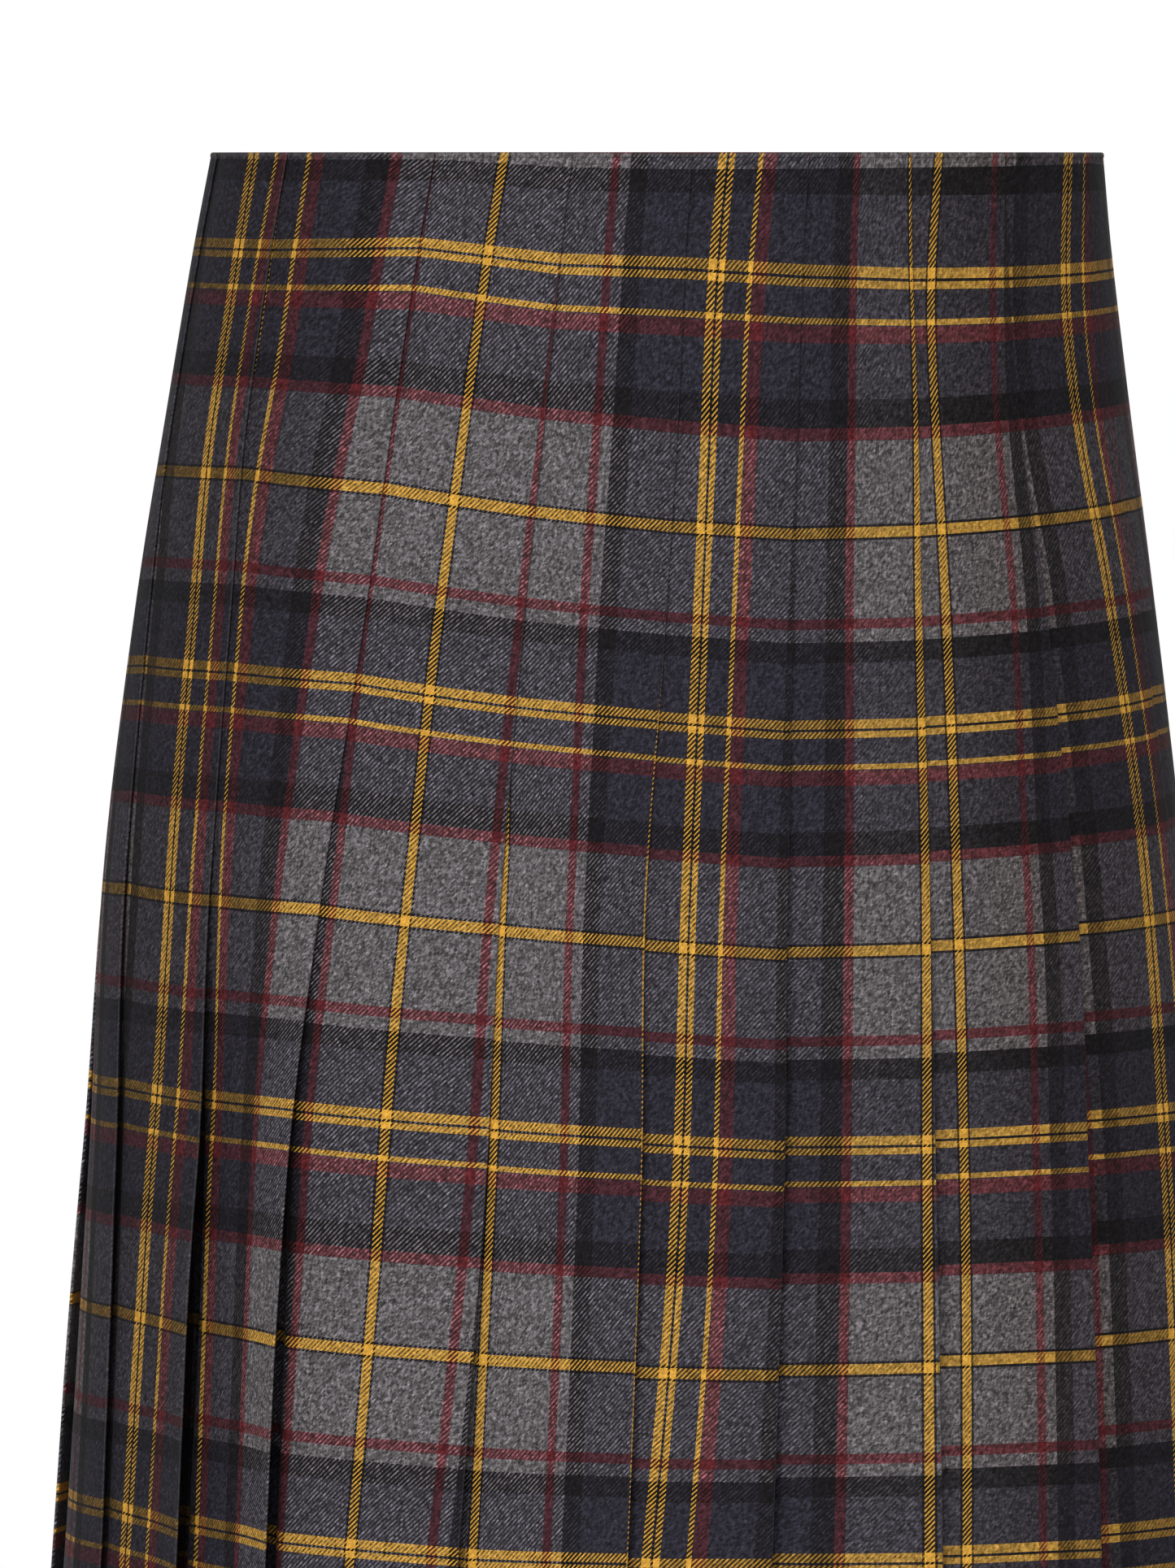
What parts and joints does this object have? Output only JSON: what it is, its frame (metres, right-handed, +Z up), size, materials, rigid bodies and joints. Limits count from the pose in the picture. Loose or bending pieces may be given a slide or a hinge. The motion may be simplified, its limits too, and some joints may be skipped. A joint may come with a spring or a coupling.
{
  "type": "pleated skirt",
  "caption": "Checked wool skirt in worn shape, knife pleats all round, clean waist edge, open hem and a concealed side zip with a hinged pull.",
  "frame": {"origin": "middle of the waist opening, where a wearer's waist holds the skirt", "axes": "+Z up towards the waist edge, the front faces -Y, +X is the wearer's left"},
  "size_m": [0.385, 0.2997, 0.7072],
  "materials": {
    "pleated_wool": "matt twill-woven wool in a tartan of navy, black, greys, dark red and gold",
    "zip_tape": "matt woven tape",
    "zip_metal": "satin dark nickel"
  },
  "bodies": {
    "skirt": {"front_panel": "pleated_wool", "back_panel": "pleated_wool", "zip_tape_front": "zip_tape", "zip_tape_back": "zip_tape", "zip_slider": "zip_metal"},
    "pull": {"zip_pull": "zip_metal"}
  },
  "joints": [
    {"name": "pull_swing", "type": "hinge", "parent": "skirt", "child": "pull", "pos_m": [0.12899, 0.01901, -0.01448], "axis": [0.2278, -0.9704, -0.0806], "range_deg": [0, 165]}
  ]
}
